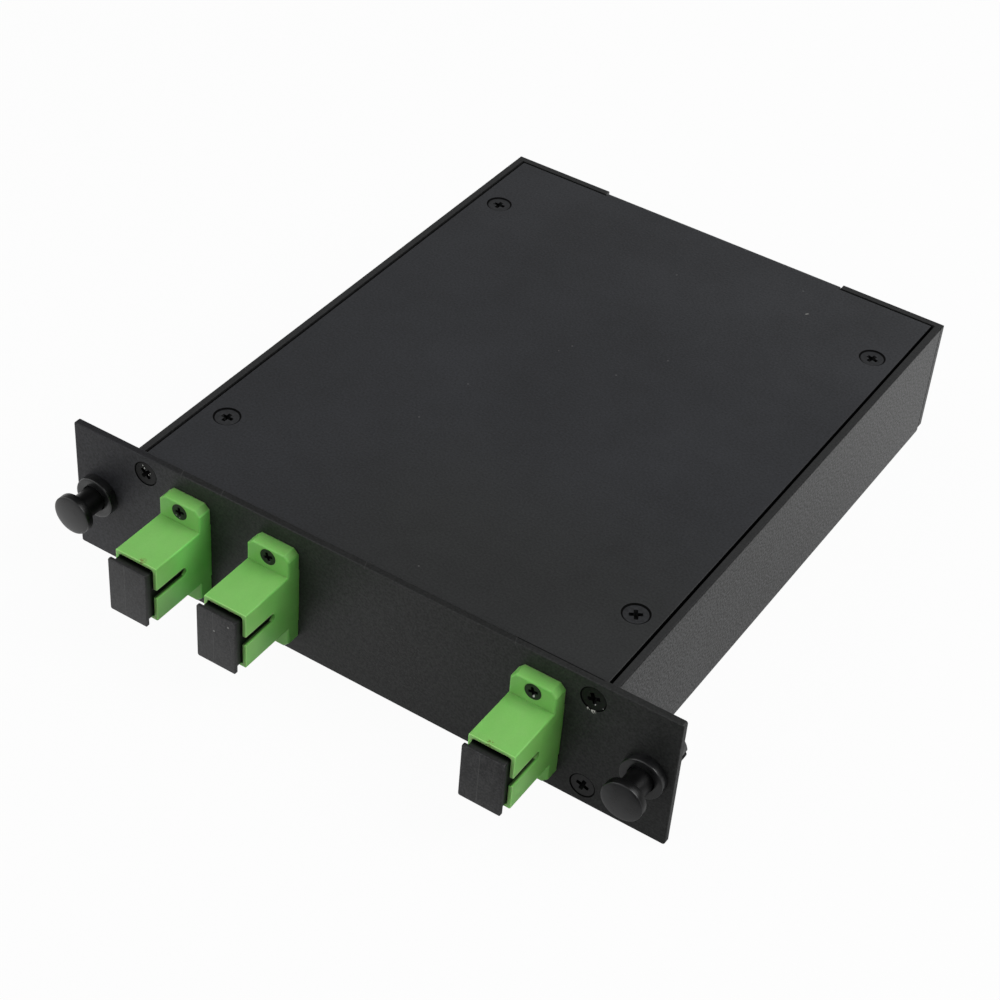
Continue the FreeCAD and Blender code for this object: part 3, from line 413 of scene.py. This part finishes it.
def black_finish(name, dark, light, away, sunk, head, recess, glint=(), darker_heads=None):
    """Black finish on steel; away and sunk give a point's distance from a screw's axis and below its top.

    Painted shade darkens a head's rim and its sunk recess, a further mask darkens whole heads, and glints are
    painted highlights.
    """
    material, place = finish(name, Specular_IOR_Level=0.4)
    cloud = place.grain(0.0007, 3.0)
    colour = cloud.fade(0.3, 0.7).tint(dark, light)
    away, sunk = away(place), sunk(place)
    # Painted shade: the sunk recess and the ring round the head are laid near black, with a metal share.
    hollow = away.fall(recess, recess + 0.0001) * sunk.fade(0.00004, 0.00008)
    darkened = away.fade(head - 0.00006, head).most(hollow)
    if darker_heads:
        darkened = darkened.most(darker_heads(place))
    colour = (darkened * 0.9).over(colour, screw_darkest)
    metal = darkened * 0.8
    # Painted highlights: light grey spots with no metal stand in for glints.
    for *spot, radius in glint:
        shine = place.spot(spot, radius, 0.6)
        colour, metal = shine.over(colour, glint_white), metal * (1 - shine)
    return lay_on(material, place, colour, cloud * 0.15 + darkened * 0.1 + 0.35, cloud, 0.000008, metal)


def from_ear_screws(place):
    """Distance from the nearest screw in the couplers' ears."""
    across = abs(place.axis("X") - coupler_x["input"])
    for x in (coupler_x["output_1"], coupler_x["output_2"]):
        across = place.sum("MINIMUM", across, abs(place.axis("X") - x))
    up = abs(abs(place.axis("Z") - coupler_z) - ear_screw_rise)
    return place.sum("SQRT", across * across + up * up)


coat(["coupler_screws"], black_finish(
    "coupler_screw_black", (0.006, 0.0062, 0.0065), (0.017, 0.0173, 0.018), from_ear_screws,
    lambda place: place.axis("Y") - ear_screw_top, ear_head, ear_recess, ear_glints))
# The two upper panel screw heads are made darker all over.
coat(["panel_screws"], black_finish(
    "panel_screw_black", (0.004, 0.0042, 0.0043), (0.011, 0.0113, 0.0115),
    lambda place: from_screws(place, panel_screw_x, "Z", 0.0, panel_screw_z),
    lambda place: place.axis("Y") - panel_screw_top, case_head, case_recess, panel_glints,
    lambda place: place.axis("Z").fade(-0.002, 0.002, 0.0, 0.6)))
coat(["cover_screws"], black_finish(
    "cover_screw_black", (0.0085, 0.009, 0.0102), (0.0165, 0.0174, 0.0196),
    lambda place: from_screws(place, cover_screw_x, "Y", cover_screw_mid, cover_screw_half),
    lambda place: cover_screw_top - place.axis("Z"), case_head, case_recess))

# Inner plugs. Each coupler takes a plug from behind: green sliding housing, white frame, ceramic ferrule
# in a metal collar, and a turned stem that a soft green boot is pushed over.

plug_green = soft_moulding("plug_green", (0.11, 0.36, 0.07), (0.15, 0.44, 0.1), 0.4, 0.0006, 0.000008)
boot_green = soft_moulding("boot_green", (0.1, 0.33, 0.08), (0.14, 0.4, 0.11), 0.55, 0.0004, 0.00002)
for name in coupler_x:
    coat(["plug_housing_" + name], plug_green)
    coat(["plug_frame_" + name], holder_white)
    coat(["ferrule_" + name], ceramic)
    coat(["plug_stem_" + name], zinc)
    coat(["plug_boot_" + name], boot_green)

# Dust caps. Black moulded plugs, one in each coupler's mouth: a thin plate to pull by, a hollow plug behind.
# They are matt, lightly scuffed by handling, and carry a few pale specks.

cap_width, cap_height, cap_sheet = 0.0085, 0.01215, 0.0007
cap_front_y = -0.01925
plug_width, plug_height, plug_end_y = 0.00765, 0.0105, -0.0089
cap_back_y = cap_front_y + cap_sheet
hollow_wall = 0.0011
cap_corner = 0.0003
cap_specks = [(-0.01802, cap_front_y, 0.00173), (-0.01489, cap_front_y, 0.00425)]
mould_line_left = 0.0006
mould_line = (0.00004, 0.00012)
line_grey = (0.11, 0.11, 0.11)
speck_white = (0.4, 0.4, 0.38)


def rings(width, height, start, steps):
    """Sizes and depths of oblong rings: each step is an inset on every side and a way along Y."""
    return [(width - 2 * inset, height - 2 * inset, start + way) for inset, way in steps]


cap_rings = rings(cap_width, cap_height, cap_front_y, (
    (0.00014, 0.0), (0.00008, 0.00001), (0.00003, 0.00004), (0.00001, 0.00008), (0.0, 0.00014), (0.0, 0.0006),
    (0.00002, 0.00066), (0.00008, cap_sheet)))
cap_rings += rings(plug_width, plug_height, cap_back_y, (
    (-0.0003, 0.0), (-0.0002, 0.00002), (-0.0001, 0.00008), (-0.00003, 0.00018), (0.0, 0.0003)))
cap_rings += rings(plug_width, plug_height, plug_end_y, (
    (0.0, -0.0003), (0.00005, -0.00012), (0.00015, -0.00003), (0.0003, 0.0), (hollow_wall - 0.0001, 0.0),
    (hollow_wall, -0.0001)))
cap_rings += rings(plug_width, plug_height, cap_back_y, [(hollow_wall, 0.00002)])


def stand(shape, name, material, body, node, crease=32):
    """Makes a finished piece of a mesh: outward faces, smooth but for creases, riding on its body."""
    bmesh.ops.remove_doubles(shape, verts=shape.verts, dist=0.0000005)
    bmesh.ops.recalc_face_normals(shape, faces=shape.faces)
    for face in shape.faces:
        face.smooth = True
    for edge in shape.edges:
        edge.smooth = len(edge.link_faces) == 2 and edge.calc_face_angle() < math.radians(crease)
    mesh = bpy.data.meshes.new(name)
    shape.to_mesh(mesh)
    shape.free()
    mesh.materials.append(material)
    piece = bpy.data.objects.new(name, mesh)
    bpy.context.collection.objects.link(piece)
    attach(piece, body)
    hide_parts(node)


def cap_mesh(x):
    """A rounded oblong, drawn out ring by ring: plate, fillet, plug, its rim, and back into its hollow."""
    shape = bmesh.new()
    upright = Matrix.Translation((x, cap_front_y, coupler_z)) @ Matrix.Rotation(math.pi / 2, 4, "X")
    bmesh.ops.create_grid(shape, x_segments=1, y_segments=1, size=cap_width / 2, matrix=upright)
    bmesh.ops.bevel(shape, geom=shape.verts[:], offset=cap_corner, offset_type="OFFSET", segments=5,
                    profile=0.5, affect="VERTICES", material=-1)
    face = shape.faces[:][0]
    front = list(face.edges)
    for ring, (width, height, y) in enumerate(cap_rings):
        if ring:
            face = bmesh.ops.extrude_discrete_faces(shape, faces=[face])["faces"][0]
        corners = list(face.verts)
        across = max(abs(vert.co.x - x) for vert in corners)
        up = max(abs(vert.co.z - coupler_z) for vert in corners)
        bmesh.ops.scale(shape, vec=(width / 2 / across, 1.0, height / 2 / up), verts=corners,
                        space=Matrix.Translation((-x, 0, -coupler_z)))
        bmesh.ops.translate(shape, vec=(0, y - corners[0].co.y, 0), verts=corners)
    bmesh.ops.contextual_create(shape, geom=front)
    return shape


def cap_plastic(name, x):
    """Matt black plastic: scuffs, specks, smudges, the mould's faint line up its face, and painted shade
    inside and on its sides.
    """
    material, place = finish(name)
    scuff = place.node("Mapping", None, {"Vector": place, "Scale": (1, 1, 0.3)}).grain(0.0009, 3.0, 0.6)
    fine = place.grain(0.0004, 1.0, 0.6)
    smudge = place.grain(0.0035, 2.0).fade(0.55, 0.72)
    line = abs(place.axis("X") - (x - mould_line_left)).fall(*mould_line)
    on_face = place.axis("Y").fall(cap_front_y + 0.00002, cap_front_y + 0.0002)
    colour = ((fine - 0.5) * 1.5 + (scuff - 0.5) * 1.1 + smudge * 0.15 + 0.44).fade(0.0, 1.0)
    colour = colour.tint((0.008, 0.0082, 0.0086), (0.041, 0.0415, 0.0430))
    colour = (line * on_face * 0.3).over(colour, line_grey)
    colour = (place.specks(0.0032, 0.00012, 0.1) * 0.4).over(colour, (0.36, 0.36, 0.34))
    for spot in cap_specks:
        colour = (place.spot(spot, 0.00024, 0.5) * 0.6).over(colour, speck_white)
    # Painted shade: the plug inside the mouth is laid near black, with a metal share.
    inside = place.axis("Y").fade(cap_back_y + 0.0005, cap_back_y + 0.0015)
    colour = (inside * 0.95).over(colour, deep_black)
    # Painted shade: every face but the front is darkened.
    side = 1 - on_face
    colour = (side * 0.6).over(colour, (0.004, 0.0041, 0.0043))
    return lay_on(material, place, colour, scuff * 0.14 + 0.5 - on_face * 0.06, fine + scuff * 0.5, 0.000012,
                  (inside * 0.9).most(side * 0.3))


for name, x in coupler_x.items():
    plastic = cap_plastic("cap_black_" + name, x)
    coat(["dust_cap_" + name], plastic)
    stand(cap_mesh(x), "cap_" + name, plastic, "cap_" + name, "dust_cap_" + name)

# Latches. A black nylon bush snaps into each ear of the panel, and a plunger slides in it.
# Pushed in, it spreads the bush's legs behind the rack's hole; in the photo both are pulled out.

latch_x = 0.0593
knob_side_y = -0.0096
collar_front_y = -0.0034
bore_radius, leg_radius = 0.0026, 0.0033
leg_slot, leg_middle = 0.001, 0.003
lug_size = (0.0011, 0.001, 0.0008)
lug_place = (0.0024, 0.00115, 0)
stem_black = (0.002, 0.002, 0.002)
knob_profile = [(0.0, -0.01), (0.0012, -0.00998), (0.0022, -0.00991), (0.0031, -0.00979), (0.00362, -0.0097),
                (0.00372, -0.00967), (0.00378, -0.00964), (0.0039, -0.00962), (0.00396, -0.00957),
                (0.00398, -0.00949), (0.00398, -0.00815), (0.00393, -0.00803), (0.00382, -0.00796),
                (0.0037, -0.00795), (0.00295, -0.00795), (0.0027, -0.00793), (0.00258, -0.00786),
                (0.00252, -0.00775), (0.0025, -0.0076), (0.0025, 0.00165), (0.0016, 0.00255),
                (0.0016, 0.00695), (0.0013, 0.0073), (0.0008, 0.00745), (0.0, 0.00745)]
collar_profile = [(bore_radius, 0.0), (bore_radius, -0.00323), (0.00264, -0.00331), (0.00272, -0.00335),
                  (0.00392, -0.00335), (0.00404, -0.00333), (0.00413, -0.00327), (0.00418, -0.00318),
                  (0.0042, -0.00306), (0.0042, panel_front), (leg_radius, panel_front), (leg_radius, 0.0)]
leg_profile = [(bore_radius, 0.0), (leg_radius, 0.0), (leg_radius, 0.00685), (0.00318, 0.00702),
               (0.0029, 0.00725), (bore_radius, 0.00725)]
full_turn = 2 * math.pi


def turned(shape, profile, x, start, sweep, steps):
    """Spins an outline of radius and depth round a latch's axis; a partial sweep gets its two end faces."""
    ring = [shape.verts.new((x + radius * math.cos(start), y, radius * math.sin(start)))
            for radius, y in profile]
    full = sweep == full_turn
    hollow = profile[0][0] > 0
    pairs = list(zip(ring, ring[1:])) + ([(ring[-1], ring[0])] if hollow else [])
    edges = [shape.edges.new(pair) for pair in pairs]
    made = bmesh.ops.spin(shape, geom=ring + edges, cent=(x, 0, 0), axis=(0, -1, 0), dvec=(0, 0, 0),
                          angle=sweep, steps=steps, use_merge=full, use_normal_flip=False,
                          use_duplicate=False)
    if not full:
        last = [item for item in made["geom_last"] if isinstance(item, bmesh.types.BMEdge)]
        bmesh.ops.contextual_create(shape, geom=edges)
        bmesh.ops.contextual_create(shape, geom=last)


def nylon(name, dark, light, roughness):
    """Glossy black nylon with a faint moulding haze, the odd speck, and painted shade on the stem behind the
    knob.
    """
    material, place = finish(name)
    haze = place.grain(0.0019, 3.0)
    fine = place.grain(0.0002, 2.0)
    colour = haze.fade(0.3, 0.7).tint(dark, light)
    colour = (place.specks(0.0035, 0.00012, 0.25) * 0.6).over(colour, speck_white)
    back = place.axis("Y")
    # Painted shade: the stem between knob and collar is laid near black, with a metal share.
    stem = back.fade(knob_side_y, knob_side_y + 0.0003) * back.fall(collar_front_y - 0.0002, collar_front_y)
    colour = (stem * 0.6).over(colour, stem_black)
    return lay_on(material, place, colour, haze * 0.14 + roughness + stem * 0.1, fine, 0.000001, stem * 0.58)


latch_nylon = nylon("latch_nylon", (0.006, 0.0062, 0.0066), (0.0115, 0.0118, 0.0125), 0.22)
half_slot = math.asin(leg_slot / 2 / leg_middle)
for side, x in (("left", -latch_x), ("right", latch_x)):
    coat(["latch_grommet_" + side, "latch_plunger_" + side], latch_nylon)
    shape = bmesh.new()
    turned(shape, knob_profile, x, 0.0, full_turn, 96)
    for turn in range(4):
        quarter = Matrix.Translation((x, 0, 0)) @ Matrix.Rotation(turn * math.pi / 2, 4, "Y")
        lug = quarter @ Matrix.Translation(lug_place) @ Matrix.Diagonal((*lug_size, 1.0))
        bmesh.ops.create_cube(shape, size=1.0, matrix=lug)
    stand(shape, "plunger_" + side, latch_nylon, "latch_" + side, "latch_plunger_" + side, 40)
    shape = bmesh.new()
    turned(shape, collar_profile, x, 0.0, full_turn, 96)
    for turn in range(4):
        turned(shape, leg_profile, x, turn * math.pi / 2 + half_slot, math.pi / 2 - 2 * half_slot, 20)
    stand(shape, "bush_" + side, latch_nylon, "case", "latch_grommet_" + side, 40)

# Top cover. A flat sheet of 1.2 mm steel in the same powder coat, let in between the tray's rims, with a
# tab folded down into the rear wall's notch. Four sunk screws with cross recesses hold it to the pillars.

cover_sink = 0.00265
cover_half = 0.0493
cover_nick = (0.0271, 0.11626, rim_top)
nick_turn = 0.9
nick_length, nick_width = (0.0002, 0.0005), (0.00005, 0.00018)
plain_front, plain_right, plain_cast = (0.012, 0.055), (-0.03, 0.005), (0.84, 0.84, 0.73)
pale_rear, pale_right, pale_cast = (0.07, 0.13), (-0.02, 0.045), (1.5, 1.47, 1.4)
cover_specks = [(-0.0144, 0.054), (-0.016, 0.0398), (0.0078, 0.0053), (-0.0009, 0.1117), (0.0068, 0.0742),
                (0.0125, 0.0846), (-0.005, 0.077), (0.0227, 0.1231)]


def cover_marks(place, colour, roughness):
    """Less blue in front, painted light behind, painted shade in the screw gaps and on the sides, a bright
    nick, and a few grains in the coat.
    """
    across, back = place.axis("X"), place.axis("Y")
    colour = (back.fall(*plain_front) * across.fade(*plain_right)).dye(colour, plain_cast)
    # Painted light: the coat is made paler towards the rear right.
    colour = (back.fade(*pale_rear) * across.fade(*pale_right, 0.45, 1.0)).dye(colour, pale_cast)
    away = from_screws(place, cover_screw_x, "Y", cover_screw_mid, cover_screw_half)
    # Painted shade: the gaps round the screw heads are laid near black.
    gap = away.fall(cover_sink, cover_sink + 0.00006)
    colour = (gap * 0.95).over(colour, shade_black)
    at_nick = place.node("Mapping", {"vector_type": "TEXTURE"},
                         {"Vector": place, "Location": cover_nick, "Rotation": (0, 0, nick_turn)})
    nick = abs(at_nick.axis("X")).fall(*nick_length) * abs(at_nick.axis("Y")).fall(*nick_width)
    colour = (nick * 0.8).over(colour, (0.3, 0.3, 0.28))
    for x, y in cover_specks:
        colour = (place.spot((x, y, rim_top), 0.00022, 0.6) * 0.35).over(colour, (0.2, 0.2, 0.2))
    # Painted shade: the cover's side faces, seen down the slit, are laid near black.
    side = abs(across).fade(cover_half - 0.00012, cover_half - 0.00002)
    colour = (side * 0.95).over(colour, shade_black)
    return colour, roughness + gap * 0.3, gap.most(side) * 0.85


coat(["top_cover"], powder_coat("cover_powder_coat", (0.0064, 0.0069, 0.0082), (0.0220, 0.0235, 0.0276),
                                0.4, 0.9, 0.00002, cover_marks))

# Studio. A pale floor under the case, a room that is lightest to the left in front, and one broad soft
# light behind on the right. The camera stands to the right in front, looking down at forty degrees.

floor_z = -0.01452
floor_half = 3.0
case_middle = (0, 0.04, 0)
lamp_place = (0.55, 0.25, 0.6)
lightest_side = (-0.75, -0.55, 0.37)
camera_place = (0.163333, -0.238943, 0.273479)
camera_turn = (49.80903, -3.79459, 33.09957)
shape = bmesh.new()
bmesh.ops.create_grid(shape, x_segments=1, y_segments=1, size=floor_half,
                      matrix=Matrix.Translation((0, 0, floor_z)))
sheet = bpy.data.meshes.new("floor")
shape.to_mesh(sheet)
shape.free()
floor = bpy.data.objects.new("floor", sheet)
bpy.context.collection.objects.link(floor)
floor_paint, place = finish("floor_paint", Roughness=0.9)
lay_on(floor_paint, place, place.grain(0.4, 1.0).tint((0.53, 0.53, 0.53), (0.56, 0.56, 0.56)))
path = place.tree.nodes.new("ShaderNodeLightPath")
seen = Wire(path.outputs["Is Camera Ray"]).most(Wire(path.outputs["Is Transmission Ray"]))
mirrored = Wire(path.outputs["Is Glossy Ray"])
back = place.axis("Y")
# Painted reflection: to glossy rays the floor's glow is dimmed in front and to the right, least far behind.
in_front = back.fall(-0.07, 0.0)
far_back = back.fade(0.06, 0.15)
to_right = place.axis("X").fade(-0.06, 0.05)
foot = back.fade(-0.018, -0.006) * back.fall(0.0, 0.004)
dimmed = in_front * 0.4 + to_right * ((1.0 - far_back) * 0.38 + in_front * 0.14 + foot * 0.26)
light_and_shade = seen.most(1.0 - dimmed).tint((0, 0, 0), (1, 1, 1))
white = place.node("Emission", None, {"Color": light_and_shade, "Strength": 1.0})
paint = Wire(place.tree.nodes["Principled BSDF"].outputs[0])
blend = place.node("MixShader", None, {0: (seen * 0.96).most(mirrored), 1: paint, 2: white})
place.plug(blend, place.tree.nodes["Material Output"].inputs["Surface"])
floor.data.materials.append(floor_paint)

world = bpy.data.worlds.new("studio")
bpy.context.scene.world = world
world.use_nodes = True
towards = Wire(world.node_tree.nodes.new("ShaderNodeTexCoord").outputs["Generated"])
path = towards.tree.nodes.new("ShaderNodeLightPath")
seen = Wire(path.outputs["Is Camera Ray"]).most(Wire(path.outputs["Is Transmission Ray"]))
facing = towards.node("VectorMath", {"operation": "DOT_PRODUCT"}, {0: towards, 1: lightest_side}, 1)
window = towards.sum("POWER", facing.most(0.0), 3.0)
sky = world.node_tree.nodes["Background"]
sky.inputs["Color"].default_value = (1, 1, 1, 1)
towards.plug(seen.most(window * 1.43 + 0.3), sky.inputs["Strength"])

lamp = bpy.data.lights.new("right_light", "AREA")
lamp.shape, lamp.size, lamp.energy = "SQUARE", 0.5, 5.0
lamp_post = bpy.data.objects.new("right_light", lamp)
lamp_post.location = lamp_place
lamp_post.rotation_euler = (Vector(case_middle) - Vector(lamp_place)).to_track_quat("-Z", "Y").to_euler()
bpy.context.collection.objects.link(lamp_post)

lens = bpy.data.cameras.new("camera")
lens.lens, lens.sensor_width = 80.5, 36.0
camera = bpy.data.objects.new("camera", lens)
camera.location = camera_place
camera.rotation_euler = [math.radians(turn) for turn in camera_turn]
bpy.context.collection.objects.link(camera)
bpy.context.scene.camera = camera
bpy.context.scene.view_settings.view_transform = "Standard"
